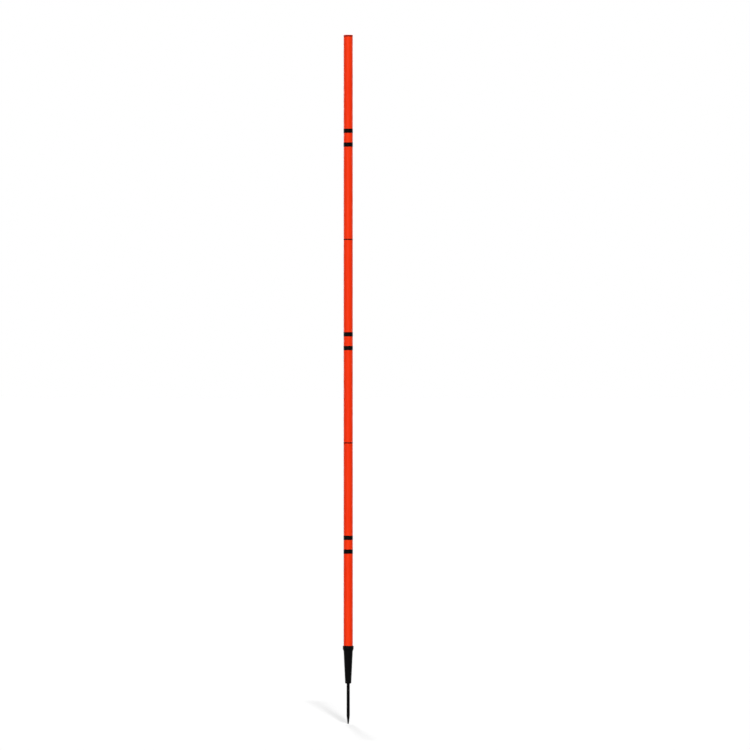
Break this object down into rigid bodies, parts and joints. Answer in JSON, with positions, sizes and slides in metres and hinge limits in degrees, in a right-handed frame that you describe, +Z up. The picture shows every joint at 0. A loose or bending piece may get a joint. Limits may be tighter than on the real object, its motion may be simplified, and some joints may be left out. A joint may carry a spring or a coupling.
{
  "type": "slalom pole",
  "caption": "Slim upright training pole of push-together orange tubes with black bands, a thin round end cap, and a tapered black holder with a steel spike that is pushed into turf.",
  "frame": {"origin": "on the pole's axis at the turf line, in the middle of the holder's flat foot; the spike lies below it", "axes": "+Z up along the pole, from the spike's point to the end cap; the pole is round, so +X and +Y are two directions square to it"},
  "size_m": [0.027, 0.027, 1.7023],
  "materials": {
    "orange_pipe": "smooth extruded plastic pipe, bright orange-red all through, satin gloss",
    "orange_cap": "moulded plastic, a little duller and deeper than the pipe",
    "black_tape": "thin black vinyl tape, satin",
    "black_moulding": "black moulded plastic with a fine grain",
    "black_steel": "blackened steel rod with a turned point"
  },
  "bodies": {
    "base_section": {"ground_spike": "black_steel", "spike_holder": "black_moulding", "lower_tube": "orange_pipe", "lower_tube_lower_band": "black_tape", "lower_tube_upper_band": "black_tape", "lower_coupler": "black_moulding"},
    "middle_section": {"middle_tube": "orange_pipe", "middle_tube_lower_band": "black_tape", "middle_tube_upper_band": "black_tape", "upper_coupler": "black_moulding"},
    "top_section": {"top_tube": "orange_pipe", "top_tube_lower_band": "black_tape", "top_tube_upper_band": "black_tape", "cap_ring": "black_moulding", "end_cap": "orange_cap"}
  },
  "joints": [
    {"name": "middle_section_pull", "type": "slide", "parent": "base_section", "child": "middle_section", "axis": [0, 0, 1], "range_m": [0, 0.06]},
    {"name": "top_section_pull", "type": "slide", "parent": "middle_section", "child": "top_section", "axis": [0, 0, 1], "range_m": [0, 0.06]}
  ]
}
